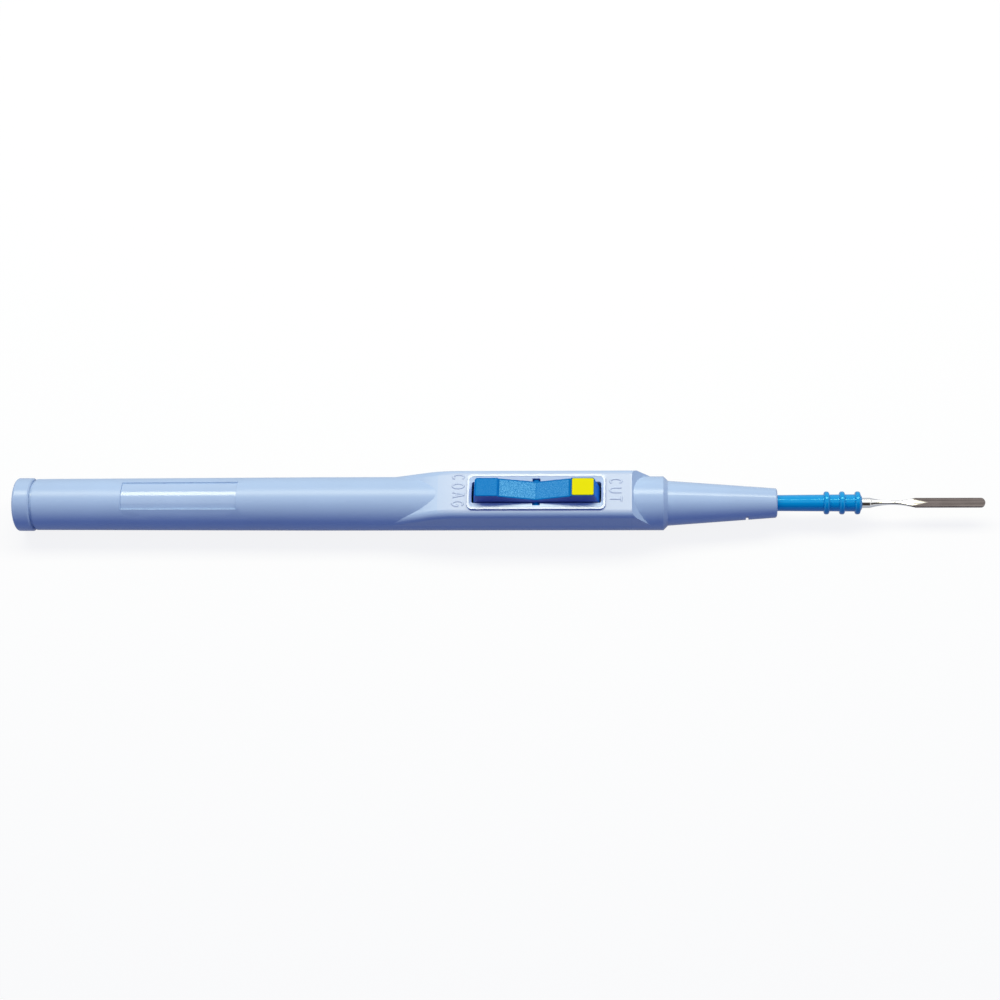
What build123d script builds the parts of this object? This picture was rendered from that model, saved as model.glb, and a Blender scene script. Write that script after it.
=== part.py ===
from build123d import *
import math
import os

# Electrosurgical pencil with a two-way rocker and a plug-in blade electrode.
# X runs along the handle from the rear face to the blade tip, Z points out of the switch panel,
# and the origin is on the handle's axis, in the rear face. All sizes are in millimetres.

# Driving dimensions of the end cap
cap_ring_diameter = 11.3
cap_ring_length = 3.65
cap_edge_radius = 0.55
cap_lip_length = 0.3
cap_lip_drop = 0.25
cap_groove_length = 0.65
cap_groove_depth = 0.5
cap_plug_length = 6.0
inlet_diameter = 4.4

# Driving dimensions of the handle body
barrel_rear_diameter = 10.9
barrel_diameter = 11.3
barrel_taper_length = 60.0
barrel_length = 86.7
bore_diameter = 8.6
collar_length = 7.4
collar_chamfer = 0.9
panel_length = 40.2
panel_height = 6.05
panel_width = 10.6
housing_width = 11.2
housing_edge_radius = 1.5
housing_wall = 1.4
panel_wall = 2.5
ramp_angle = 19.3
ramp_crest_radius = 20.0
front_ramp_angle = 51.0
rest_land_drop = 0.35
label_rear = 23.4
label_length = 24.8
label_spread = 68.0
label_depth = 0.3

# Driving dimensions of the switch opening and its bezel
opening_corner_radius = 0.5
funnel_end_width = 0.45
funnel_side_width = 1.1
funnel_depth = 0.5
bezel_rim = 0.5
bezel_height = 0.4
bezel_draft = 10.0
bezel_corner_radius = 1.2
switch_setback = 19.85
pivot_height = 4.95
trunnion_diameter = 1.8
trunnion_reach = 0.55
trunnion_clearance = 0.1
trunnion_throat = 1.65

# Driving dimensions of the rocker
rocker_length = 26.3
rocker_width = 4.3
rocker_draft = 1.0
rocker_rear_run = 0.52
rocker_front_run = 0.95
rocker_base_height = 4.6
rocker_pad_height = 8.9
rocker_valley_height = 6.75
rocker_pad_length = 4.85
rocker_step = 0.3
rocker_edge_radius = 0.12
rocker_corner_radius = 0.55
rocker_wall = 0.9
rocker_roof = 1.1
plunger_diameter = 2.0
plunger_inset = 3.65
cut_pad_margin = 0.14
cut_pad_depth = 0.6
cut_pad_proud = 0.12
cut_pad_corner_radius = 0.35

# Driving dimensions of the circuit board and what is soldered to it
board_width = 7.2
board_thickness = 1.0
board_top = -0.6
rail_overlap = 0.4
rail_height = 0.7
dome_diameter = 5.0
dome_height = 0.4
dome_thickness = 0.1
terminal_length = 3.2
terminal_diameter = 1.5
terminal_bore = 0.9
terminal_pitch = 2.2
terminal_foot = 0.25
link_width = 2.0
link_thickness = 0.3
link_foot_length = 3.0
link_tab_height = 1.4

# Driving dimensions of the nose cone
nose_length = 22.7
nose_rear_diameter = 9.4
nose_front_diameter = 6.1
nose_front_radius = 0.5
nose_spigot_length = 7.0
nose_groove_setback = 6.2
nose_groove_width = 0.6
nose_groove_depth = 0.4
nose_groove_rise = 1.0
nose_septum = 0.6

# Driving dimensions of the electrode and its socket
shank_diameter = 2.36
neck_diameter = 2.1
sleeve_reach = 17.5
sleeve_rear_diameter = 3.35
sleeve_front_diameter = 3.62
sleeve_key_length = 6.0
sleeve_key_flats = 4.0
sleeve_lip_diameter = 2.6
rib_count = 3
rib_pitch = 3.2
rib_diameter = 4.8
rib_width = 1.15
rib_setback = 0.9
rib_edge_radius = 0.46
neck_length = 1.6
waist_offset = 5.3
waist_width = 0.8
waist_depth = 0.9
waist_roundness = 0.49
ridge_reach = 2.4
ridge_start_diameter = 0.8
ridge_end_diameter = 0.4
blade_offset = 9.3
blade_length = 14.4
blade_width = 2.1
blade_thickness = 0.5
blade_edge_radius = 0.15
shank_insertion = 24.2
socket_diameter = 3.8
socket_end_wall = 2.3
socket_slot_length = 8.5
socket_slot_width = 0.5

# Named clearances
press_clearance = 0.05
slide_clearance = 0.05
septum_clearance = 0.1
plunger_gap = 0.05
rocker_end_clearance = 0.35
rocker_side_clearance = 0.25
terminal_clearance = 1.9
link_clearance = 0.6

# Stations along the handle, each from the sizes before it
barrel_start = cap_ring_length + cap_groove_length
panel_rear = barrel_start + barrel_length
panel_front = panel_rear + panel_length
collar_front = panel_front + collar_length
nose_front = collar_front + nose_length
sleeve_front = nose_front + sleeve_reach
blade_start = sleeve_front + blade_offset + neck_length
blade_tip = blade_start + blade_length
pivot_x = panel_front - switch_setback

# The opening clears the rocker all round, and each plunger keeps its place from the rocker's end
opening_length = rocker_length + 2 * rocker_end_clearance
opening_width = rocker_width + 2 * rocker_side_clearance
plunger_offset = rocker_length / 2 - plunger_inset

# The board reaches past both domes, with room for the terminals at the rear and the strap's foot in front
dome_reach = plunger_offset + dome_diameter / 2
board_rear = pivot_x - dome_reach - terminal_clearance - terminal_length - terminal_foot
board_front = pivot_x + dome_reach + link_clearance + link_foot_length

# Radii and levels that several pieces share
barrel_radius = barrel_diameter / 2
bore_radius = bore_diameter / 2
plug_radius = bore_radius - press_clearance
rest_level = rest_land_drop - barrel_radius
bezel_top = panel_height + bezel_height
board_bottom = board_top - board_thickness
dome_top = board_top + dome_height
rocker_height = rocker_pad_height - rocker_base_height
rocker_draft_run = rocker_height * math.tan(math.radians(rocker_draft))
rocker_rear = rocker_rear_run - rocker_length / 2
rocker_front = rocker_length / 2 - rocker_front_run
pocket_floor = rocker_pad_height - cut_pad_depth
cut_pad_centre = pivot_x + rocker_front - rocker_pad_length / 2
socket_front = nose_front - sleeve_key_length - nose_septum
shank_end = nose_front - shank_insertion
socket_rear = shank_end - socket_end_wall


def turned(profile):
    """Solid of revolution about X from (x, radius) points."""
    return revolve(Plane.XZ * make_face(Polyline(*profile, close=True)), Axis.X)


def rod(x_start, x_end, diameter):
    """Round bar along X."""
    radius = diameter / 2
    return turned([(x_start, 0), (x_start, radius), (x_end, radius), (x_end, 0)])


def block(x_range, y_range, z_range):
    """Box from its lowest and highest coordinates."""
    spans = [high - low for low, high in (x_range, y_range, z_range)]
    corner = Pos(x_range[0], y_range[0], z_range[0])
    return corner * Box(*spans, align=(Align.MIN, Align.MIN, Align.MIN))


def upright(sketch, x_centre, z_start, height, taper=0):
    """Sketch in plan, raised along Z from a level."""
    return Pos(x_centre, 0, z_start) * extrude(sketch, height, taper=taper)


def rest_land(x_start, x_end):
    """What the flat land under the handle cuts away."""
    return block((x_start, x_end), (-barrel_diameter, barrel_diameter), (-barrel_diameter, rest_level))


def make_end_cap():
    """Rear cap: ring with a rounded rear edge, shadow groove, plug and cable inlet."""
    ring_radius = cap_ring_diameter / 2
    groove_radius = barrel_rear_diameter / 2 - cap_groove_depth
    inlet_radius = inlet_diameter / 2
    cap = turned([
        (0, inlet_radius),
        (0, ring_radius),
        (cap_ring_length - cap_lip_length, ring_radius),
        (cap_ring_length, ring_radius - cap_lip_drop),
        (cap_ring_length, groove_radius),
        (barrel_start, groove_radius),
        (barrel_start, plug_radius),
        (barrel_start + cap_plug_length, plug_radius),
        (barrel_start + cap_plug_length, inlet_radius),
    ])
    rear_edges = cap.edges().filter_by(GeomType.CIRCLE).group_by(Axis.X)[0]
    cap = fillet(rear_edges.sort_by(SortBy.RADIUS)[-1:], cap_edge_radius)
    return cap - rest_land(0, barrel_start)


def make_housing():
    """Switch housing: flat panel with a long rear ramp, a steep front ramp and softened long edges."""
    ramp_run = panel_height / math.tan(math.radians(ramp_angle))
    front_run = panel_height / math.tan(math.radians(front_ramp_angle))
    side_view = Polyline(
        (panel_rear - ramp_run, 0),
        (panel_rear, panel_height),
        (panel_front, panel_height),
        (panel_front + front_run, 0),
        close=True,
    )
    end_view = Polyline(
        (-housing_width / 2, 0),
        (-panel_width / 2, panel_height),
        (panel_width / 2, panel_height),
        (housing_width / 2, 0),
        close=True,
    )
    housing = extrude(Plane.XZ * make_face(side_view), housing_width, both=True)
    housing &= extrude(Plane.YZ * make_face(end_view), panel_front + collar_length)
    crest = housing.edges().filter_by(Axis.Y).group_by(Axis.Z)[-1].sort_by(Axis.X)[0]
    housing = fillet(crest, ramp_crest_radius)
    long_edges = [edge for edge in housing.edges() if is_long_edge(edge)]
    return fillet(long_edges, housing_edge_radius)


def is_long_edge(edge):
    """True for the edges along the panel and its rear ramp."""
    middle = edge.center()
    along_side = abs(middle.Y) > panel_width / 2 - housing_edge_radius
    return along_side and middle.Z > panel_height / 4 and middle.X < panel_front


def make_bezel():
    """Raised rim around the switch opening, with drafted walls."""
    length = opening_length + 2 * funnel_end_width + 2 * bezel_rim
    width = opening_width + 2 * funnel_side_width + 2 * bezel_rim
    outline = RectangleRounded(length, width, bezel_corner_radius)
    return upright(outline, pivot_x, panel_height, bezel_height, bezel_draft)


def make_switch_opening():
    """Straight opening for the rocker, which widens to a funnel in the bezel."""
    mouth = RectangleRounded(opening_length, opening_width, opening_corner_radius)
    rim = RectangleRounded(
        opening_length + 2 * funnel_end_width,
        opening_width + 2 * funnel_side_width,
        opening_corner_radius + funnel_end_width,
    )
    funnel = loft([
        Pos(pivot_x, 0, bezel_top - funnel_depth) * mouth,
        Pos(pivot_x, 0, bezel_top) * rim,
    ])
    return upright(mouth, pivot_x, 0, bezel_top) + funnel


def make_pivot_slots():
    """Keyhole slots across the bezel that the rocker's trunnions snap into."""
    reach = opening_width / 2 + trunnion_reach + trunnion_clearance
    hole_radius = trunnion_diameter / 2 + trunnion_clearance
    hole = Pos(pivot_x, 0, pivot_height) * Rot(90, 0, 0) * Cylinder(hole_radius, 2 * reach)
    half_throat = trunnion_throat / 2
    throat = block(
        (pivot_x - half_throat, pivot_x + half_throat),
        (-reach, reach),
        (pivot_height, bezel_top + bezel_height),
    )
    return hole + throat


def make_label_recess():
    """Shallow rectangular recess that wraps over the top of the barrel."""
    shell = rod(label_rear, label_rear + label_length, 2 * barrel_diameter)
    floor = turned([
        (label_rear, 0),
        (label_rear, barrel_radius_at(label_rear) - label_depth),
        (label_rear + label_length, barrel_radius_at(label_rear + label_length) - label_depth),
        (label_rear + label_length, 0),
    ])
    half_angle = math.radians(label_spread / 2)
    reach = barrel_diameter
    wedge = Polyline(
        (0, 0),
        (reach * math.sin(half_angle), reach * math.cos(half_angle)),
        (-reach * math.sin(half_angle), reach * math.cos(half_angle)),
        close=True,
    )
    sector = Pos(label_rear, 0, 0) * extrude(Plane.YZ * make_face(wedge), label_length)
    return (shell & sector) - floor


def barrel_radius_at(x):
    """Radius of the tapered barrel at a station."""
    share = min(1, (x - barrel_start) / barrel_taper_length)
    return (barrel_rear_diameter + share * (barrel_diameter - barrel_rear_diameter)) / 2


def make_rails():
    """Two channels in the bore that the board slides into from the front, with a stop at the rear."""
    inner = board_width / 2 - rail_overlap
    lower = (board_bottom - rail_height, board_bottom)
    upper = (board_top + slide_clearance, board_top + slide_clearance + rail_height)
    rails = []
    for side in (-1, 1):
        span = sorted((side * inner, side * bore_diameter))
        stop = (lower[0], upper[1])
        rails.append(block((board_rear, board_front), span, lower))
        rails.append(block((board_rear, board_front), span, upper))
        rails.append(block((board_rear - rail_height, board_rear), span, stop))
    tube = rod(board_rear - rail_height, board_front, bore_diameter + housing_wall)
    return [rail & tube for rail in rails]


def make_handle_body():
    """Moulded handle: tapered barrel, switch housing, bezel, collar, bore, rails and label recess."""
    barrel = turned([
        (barrel_start, 0),
        (barrel_start, barrel_rear_diameter / 2),
        (barrel_start + barrel_taper_length, barrel_radius),
        (collar_front - collar_chamfer, barrel_radius),
        (collar_front, barrel_radius - collar_chamfer),
        (collar_front, 0),
    ])
    body = barrel + make_housing() + make_bezel()
    body -= rod(barrel_start, collar_front, bore_diameter)
    cavity_end = opening_length / 2 + housing_wall
    cavity_side = housing_width / 2 - housing_wall
    body -= block(
        (pivot_x - cavity_end, pivot_x + cavity_end),
        (-cavity_side, cavity_side),
        (0, panel_height - panel_wall),
    )
    body -= make_switch_opening()
    body -= make_pivot_slots()
    body -= make_label_recess()
    for rail in make_rails():
        body += rail
    return body - rest_land(barrel_start, collar_front)


def make_nose_cone():
    """Tapered nose with a spigot for the collar, the socket's bore and a hexagonal key seat in front."""
    spigot_rear = collar_front - nose_spigot_length
    front_radius = nose_front_diameter / 2
    nose = turned([
        (spigot_rear, 0),
        (spigot_rear, plug_radius),
        (collar_front, plug_radius),
        (collar_front, nose_rear_diameter / 2),
        (nose_front, front_radius),
        (nose_front, 0),
    ])
    front_edge = nose.edges().filter_by(GeomType.CIRCLE).group_by(Axis.X)[-1]
    nose = fillet(front_edge, nose_front_radius)
    nose -= rod(spigot_rear, socket_front, socket_diameter + 2 * press_clearance)
    nose -= rod(socket_front, nose_front, shank_diameter + 2 * septum_clearance)
    nose -= make_key(nose_front - sleeve_key_length, nose_front, slide_clearance)
    return nose - make_nose_groove()


def make_key(x_start, x_end, clearance):
    """Hexagonal bar that keys the sleeve against turning."""
    hexagon = RegularPolygon(sleeve_key_flats / 2 + clearance, 6, major_radius=False)
    return Pos(x_start, 0, 0) * extrude(Plane.YZ * hexagon, x_end - x_start)


def make_nose_groove():
    """Narrow groove round the underside of the nose."""
    groove_x = nose_front - nose_groove_setback
    half_width = nose_groove_width / 2
    slope = (nose_rear_diameter - nose_front_diameter) / 2 / nose_length
    floor_radius = nose_front_diameter / 2 + slope * nose_groove_setback - nose_groove_depth
    ring = rod(groove_x - half_width, groove_x + half_width, nose_rear_diameter)
    ring -= rod(groove_x - half_width, groove_x + half_width, 2 * floor_radius)
    below = block(
        (groove_x - half_width, groove_x + half_width),
        (-nose_rear_diameter, nose_rear_diameter),
        (-nose_rear_diameter, nose_groove_rise),
    )
    return ring & below


def rocker_profile():
    """Side view of the rocker: raised pads at both ends, slopes down to a valley, and leaning end walls."""
    slope_top = rocker_pad_height - rocker_step
    return Polyline(
        (-rocker_length / 2, rocker_base_height),
        (rocker_rear, rocker_pad_height),
        (rocker_rear + rocker_pad_length, rocker_pad_height),
        (rocker_rear + rocker_pad_length, slope_top),
        (0, rocker_valley_height),
        (rocker_front - rocker_pad_length, slope_top),
        (rocker_front - rocker_pad_length, rocker_pad_height),
        (rocker_front, rocker_pad_height),
        (rocker_length / 2, rocker_base_height),
        close=True,
    )


def rocker_section():
    """End view of the rocker, with a slight draft."""
    half_base = rocker_width / 2
    half_top = half_base - rocker_draft_run
    return Polyline(
        (-half_base, rocker_base_height),
        (-half_top, rocker_pad_height),
        (half_top, rocker_pad_height),
        (half_base, rocker_base_height),
        close=True,
    )


def is_rocker_corner(edge):
    """True for the four upright edges at the rocker's corners."""
    return edge.bounding_box().size.Z > rocker_height / 2


def is_rocker_top_edge(edge):
    """True for the rims of both pads and the long edges of both slopes."""
    middle = edge.center()
    rise = edge.bounding_box().size.Z
    on_pad = middle.Z > rocker_pad_height - rocker_step / 2 and rise < rocker_step / 2
    on_slope = abs(middle.Y) > rocker_width / 4 and 2 * rocker_step < rise < rocker_height / 2
    return on_pad or on_slope


def make_rocker():
    """Rocker with leaning ends, cored underside, two plungers and two trunnions."""
    solid = extrude(Plane.XZ * make_face(rocker_profile()), rocker_width, both=True)
    solid &= extrude(Plane.YZ * make_face(rocker_section()), rocker_length, both=True)
    solid = fillet([edge for edge in solid.edges() if is_rocker_corner(edge)], rocker_corner_radius)
    solid = fillet([edge for edge in solid.edges() if is_rocker_top_edge(edge)], rocker_edge_radius)
    solid = Pos(pivot_x, 0, 0) * solid
    core = RectangleRounded(
        rocker_length - 2 * (rocker_wall + rocker_front_run),
        rocker_width - 2 * rocker_wall,
        rocker_corner_radius,
    )
    core_height = rocker_valley_height - rocker_roof - rocker_base_height
    solid -= upright(core, pivot_x, rocker_base_height, core_height)
    plunger_tip = dome_top + plunger_gap
    for side in (-1, 1):
        plunger = Circle(plunger_diameter / 2)
        plunger_x = pivot_x + side * plunger_offset
        solid += upright(plunger, plunger_x, plunger_tip, rocker_valley_height - plunger_tip)
    trunnion_span = opening_width + 2 * trunnion_reach
    trunnion = Cylinder(trunnion_diameter / 2, trunnion_span)
    solid += Pos(pivot_x, 0, pivot_height) * Rot(90, 0, 0) * trunnion
    return solid - upright(cut_pad_sketch(0), cut_pad_centre, pocket_floor, rocker_pad_height)


def cut_pad_sketch(clearance):
    """Plan of the yellow inlay in the middle of the CUT pad."""
    length = rocker_pad_length - 2 * cut_pad_margin + 2 * clearance
    width = rocker_width - 2 * rocker_draft_run - 2 * cut_pad_margin + 2 * clearance
    return RectangleRounded(length, width, cut_pad_corner_radius)


def make_cut_pad():
    """Yellow inlay that sits in the CUT end's pocket and stands slightly proud."""
    sketch = cut_pad_sketch(-press_clearance)
    pad = upright(sketch, cut_pad_centre, pocket_floor, cut_pad_depth + cut_pad_proud)
    return fillet(pad.edges().group_by(Axis.Z)[-1], cut_pad_proud)


def make_switch_board():
    """Circuit board that lies in the two rails."""
    side = board_width / 2
    return block((board_rear, board_front), (-side, side), (board_bottom, board_top))


def make_dome(x_centre):
    """Snap dome: thin spherical cap with its rim on the board."""
    rim = dome_diameter / 2
    outer = (rim**2 + dome_height**2) / (2 * dome_height)
    centre = board_top + dome_height - outer
    cap = Pos(x_centre, 0, centre) * (Sphere(outer) - Sphere(outer - dome_thickness))
    column = Pos(x_centre, 0, board_top) * Cylinder(
        dome_diameter, dome_diameter, align=(Align.CENTER, Align.CENTER, Align.MIN)
    )
    return cap & column


def make_cable_terminal(y_centre):
    """Solder barrel for one lead, on a flat foot at the rear of the board."""
    x_start = board_rear + terminal_foot
    radius = terminal_diameter / 2
    barrel_level = board_top + terminal_foot + radius
    foot = block(
        (x_start, x_start + terminal_length),
        (y_centre - radius, y_centre + radius),
        (board_top, barrel_level),
    )
    barrel = Pos(0, y_centre, barrel_level) * rod(x_start, x_start + terminal_length, terminal_diameter)
    lead_hole = Pos(0, y_centre, barrel_level) * rod(x_start, x_start + terminal_length, terminal_bore)
    return foot + barrel - lead_hole


def make_electrode_socket():
    """Turned brass socket with a closed rear end and two crossed slots that make spring fingers."""
    socket = rod(socket_rear, socket_front, socket_diameter)
    socket -= rod(shank_end, socket_front, shank_diameter + 2 * slide_clearance)
    slot_range = (socket_front - socket_slot_length, socket_front)
    half_slot = socket_slot_width / 2
    socket -= block(slot_range, (-socket_diameter, socket_diameter), (-half_slot, half_slot))
    return socket - block(slot_range, (-half_slot, half_slot), (-socket_diameter, socket_diameter))


def make_active_link():
    """Brass strap soldered to the board, with an upturned tab against the socket's rear face."""
    side = link_width / 2
    strap_top = board_top + link_thickness
    strap = block((board_front - link_foot_length, socket_rear), (-side, side), (board_top, strap_top))
    tab = block((socket_rear - link_thickness, socket_rear), (-side, side), (board_top, link_tab_height))
    return strap + tab


def make_electrode_sleeve():
    """Insulating sleeve with a hexagonal key in the nose, a slight flare and three grip ribs."""
    sleeve = make_key(nose_front - sleeve_key_length, nose_front, 0)
    lip_start = sleeve_front - rib_setback + rib_width / 2
    sleeve += turned([
        (nose_front, 0),
        (nose_front, sleeve_rear_diameter / 2),
        (lip_start, sleeve_front_diameter / 2),
        (sleeve_front, sleeve_lip_diameter / 2),
        (sleeve_front, 0),
    ])
    for index in range(rib_count):
        centre = sleeve_front - rib_setback - index * rib_pitch
        rib = rod(centre - rib_width / 2, centre + rib_width / 2, rib_diameter)
        sleeve += fillet(rib.edges().filter_by(GeomType.CIRCLE), rib_edge_radius)
    return sleeve - rod(nose_front - sleeve_key_length, sleeve_front, shank_diameter)


def make_electrode_blade():
    """Steel electrode: round shank, narrow waist, ridge that runs out on the blade, and half-round tip."""
    neck_end = sleeve_front + neck_length
    shank = rod(shank_end, sleeve_front - rib_setback, shank_diameter)
    shank += rod(sleeve_front - rib_setback, neck_end, neck_diameter)
    waist_x = neck_end + waist_offset
    ridge_end = blade_start + ridge_reach
    sections = [
        (neck_end, neck_diameter, neck_diameter),
        (waist_x, waist_width, waist_depth),
        (blade_start, blade_width, blade_thickness),
    ]
    outlines = []
    for station, width, depth in sections:
        outline = RectangleRounded(width, depth, waist_roundness * min(width, depth))
        outlines.append(Plane.YZ.offset(station) * outline)
    waist = loft(outlines)
    ridge = turned([
        (waist_x, 0),
        (waist_x, ridge_start_diameter / 2),
        (blade_start, ridge_start_diameter / 2),
        (ridge_end, ridge_end_diameter / 2),
        (ridge_end, 0),
    ])
    section = RectangleRounded(blade_width, blade_thickness, blade_edge_radius)
    blade = extrude(Plane.YZ.offset(blade_start) * section, blade_length)
    tip_radius = blade_width / 2
    plan = Pos(blade_tip - tip_radius, 0, 0) * Circle(tip_radius)
    plan += Pos(blade_start, 0, 0) * Rectangle(
        blade_length - tip_radius, blade_width, align=(Align.MIN, Align.CENTER)
    )
    blade &= extrude(plan, blade_thickness, both=True)
    return shank + waist + ridge + blade


def make_parts():
    """All nodes of the pencil by name."""
    parts = {
        "handle_body": make_handle_body(),
        "end_cap": make_end_cap(),
        "nose_cone": make_nose_cone(),
        "rocker": make_rocker(),
        "cut_pad": make_cut_pad(),
        "switch_board": make_switch_board(),
        "cut_dome": make_dome(pivot_x + plunger_offset),
        "coag_dome": make_dome(pivot_x - plunger_offset),
        "electrode_socket": make_electrode_socket(),
        "active_link": make_active_link(),
        "electrode_sleeve": make_electrode_sleeve(),
        "electrode_blade": make_electrode_blade(),
    }
    for index, lead in enumerate(("cut", "active", "coag")):
        parts[f"cable_terminal_{lead}"] = make_cable_terminal((index - 1) * terminal_pitch)
    return parts


os.makedirs("parts", exist_ok=True)
for name, part in make_parts().items():
    export_step(part, f"parts/{name}.step")
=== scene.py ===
import logging
import math
from dataclasses import dataclass
from enum import Enum

import bmesh
import bpy
from mathutils import Matrix, Vector


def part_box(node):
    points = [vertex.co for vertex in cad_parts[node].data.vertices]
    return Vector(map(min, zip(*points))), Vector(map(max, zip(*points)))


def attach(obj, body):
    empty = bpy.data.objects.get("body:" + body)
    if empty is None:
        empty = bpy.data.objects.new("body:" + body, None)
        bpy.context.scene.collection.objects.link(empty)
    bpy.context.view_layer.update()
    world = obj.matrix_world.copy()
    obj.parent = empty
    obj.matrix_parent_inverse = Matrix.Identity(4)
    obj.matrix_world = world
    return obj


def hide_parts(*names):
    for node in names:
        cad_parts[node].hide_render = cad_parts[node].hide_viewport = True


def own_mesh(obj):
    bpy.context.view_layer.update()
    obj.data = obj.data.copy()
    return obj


# Looks of an electrosurgical pencil: moulded handle with raised legends, rocker, plug-in blade electrode
# and the switch gear inside. Lengths are in metres in the frame of the solids: X runs from the rear face
# to the blade tip, and Z points out of the switch panel.

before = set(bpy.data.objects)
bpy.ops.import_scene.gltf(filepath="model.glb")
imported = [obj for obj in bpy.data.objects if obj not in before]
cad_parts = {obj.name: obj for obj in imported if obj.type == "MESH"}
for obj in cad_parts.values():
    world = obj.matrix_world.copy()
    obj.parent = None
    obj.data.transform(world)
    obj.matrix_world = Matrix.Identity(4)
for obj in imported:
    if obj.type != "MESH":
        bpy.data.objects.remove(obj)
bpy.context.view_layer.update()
LOG = logging.getLogger("pencil")
MM = 0.001

Colour = tuple[float, float, float]
Point = tuple[float, float]
WHITE: Colour = (1.0, 1.0, 1.0)

# Beyond either end of the pencil, for stretches that are open at one end
REAR, FRONT = -1.0, 1.0


class Body(str, Enum):
    """Moving bodies of the pencil, by their names in the frame."""

    HANDLE = "handle"
    ROCKER = "rocker_switch"
    ELECTRODE = "electrode"


class Marks(Enum):
    """Ways in which a metal surface is worked, as stretches of the mark pattern along X, Y and Z."""

    GROUND_ALONG = (60.0, 9000.0, 9000.0)
    TURNED_ROUND = (9000.0, 400.0, 400.0)
    STAMPED = (1800.0, 1800.0, 1800.0)


@dataclass(frozen=True)
class Axes:
    """Sockets for the parts of a place or a direction along X, Y and Z."""

    x: bpy.types.NodeSocket
    y: bpy.types.NodeSocket
    z: bpy.types.NodeSocket


class NodeSheet:
    """Places and links the nodes of one shader tree."""

    def __init__(self, tree: bpy.types.NodeTree) -> None:
        """Starts on a tree with nothing in it.

        Args:
            tree: The node tree to fill.
        """
        self.tree = tree
        tree.nodes.clear()

    def add(self, kind: str, **settings: object) -> bpy.types.Node:
        """Adds a node.

        Args:
            kind: The node's type name.
            settings: Attributes to set on it.

        Returns:
            The new node.
        """
        node = self.tree.nodes.new(kind)
        for name, value in settings.items():
            setattr(node, name, value)
        return node

    def feed(self, target: bpy.types.NodeSocket, source: object) -> None:
        """Links a socket to an input, or sets the input's own value.

        Args:
            target: The input socket.
            source: An output socket, or a plain value.
        """
        if isinstance(source, bpy.types.NodeSocket):
            self.tree.links.new(source, target)
        else:
            target.default_value = source

    def sum_up(self, operation: str, *values: object) -> bpy.types.NodeSocket:
        """Adds a math node.

        Args:
            operation: The node's operation, such as MULTIPLY.
            values: Sockets or numbers for its inputs.

        Returns:
            The node's result.
        """
        node = self.add("ShaderNodeMath", operation=operation)
        for target, value in zip(node.inputs, values):
            self.feed(target, value)
        return node.outputs[0]

    def split(self, coordinate: str) -> Axes:
        """Reads a texture coordinate along each axis.

        Args:
            coordinate: The coordinate's name, such as Object or Normal.

        Returns:
            Its three parts.
        """
        apart = self.add("ShaderNodeSeparateXYZ")
        self.feed(apart.inputs[0], self.add("ShaderNodeTexCoord").outputs[coordinate])
        return Axes(*apart.outputs)

    def grade(self, value: bpy.types.NodeSocket, limits: Point) -> bpy.types.NodeSocket:
        """Grades a value into a soft mask.

        Args:
            value: The value to grade.
            limits: The values at which the mask is 0 and 1.

        Returns:
            The mask.
        """
        step = self.add("ShaderNodeMapRange", interpolation_type="SMOOTHSTEP")
        self.feed(step.inputs["Value"], value)
        step.inputs["From Min"].default_value, step.inputs["From Max"].default_value = limits
        return step.outputs["Result"]

    def noise(self, vector: object, scale: object, detail: float) -> bpy.types.NodeSocket:
        """Adds a noise texture.

        Args:
            vector: The coordinates to read.
            scale: Features for each unit of the coordinates.
            detail: How many finer layers are added.

        Returns:
            The noise value, about 0.5 on average.
        """
        node = self.add("ShaderNodeTexNoise")
        self.feed(node.inputs["Vector"], vector)
        self.feed(node.inputs["Scale"], scale)
        node.inputs["Detail"].default_value = detail
        return node.outputs["Fac"]

    def spread(self, value: object, low: object, high: object) -> bpy.types.NodeSocket:
        """Maps a value from 0 to 1 onto a range.

        Args:
            value: The value to map.
            low: What 0 becomes.
            high: What 1 becomes.

        Returns:
            The mapped value.
        """
        node = self.add("ShaderNodeMapRange")
        self.feed(node.inputs["Value"], value)
        self.feed(node.inputs["To Min"], low)
        self.feed(node.inputs["To Max"], high)
        return node.outputs["Result"]

    def mix_colour(self, factor: object, first: object, second: object) -> bpy.types.NodeSocket:
        """Mixes two colours.

        Args:
            factor: Share of the second colour.
            first: Colour or socket at 0.
            second: Colour or socket at 1.

        Returns:
            The mixed colour.
        """
        node = self.add("ShaderNodeMix", data_type="RGBA")
        self.feed(node.inputs["Factor"], factor)
        for target, value in ((node.inputs[6], first), (node.inputs[7], second)):
            self.feed(target, value if isinstance(value, bpy.types.NodeSocket) else (*value, 1.0))
        return node.outputs[2]


def new_group(name: str, inputs: dict[str, str], outputs: dict[str, str]) -> NodeSheet:
    """Starts a shader node group with named sockets.

    Args:
        name: The group's name.
        inputs: Socket types by input name.
        outputs: Socket types by output name.

    Returns:
        A sheet on the group's tree.
    """
    tree = bpy.data.node_groups.new(name, "ShaderNodeTree")
    for direction, sockets in (("INPUT", inputs), ("OUTPUT", outputs)):
        for label, kind in sockets.items():
            tree.interface.new_socket(name=label, in_out=direction, socket_type=kind)
    return NodeSheet(tree)


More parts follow.
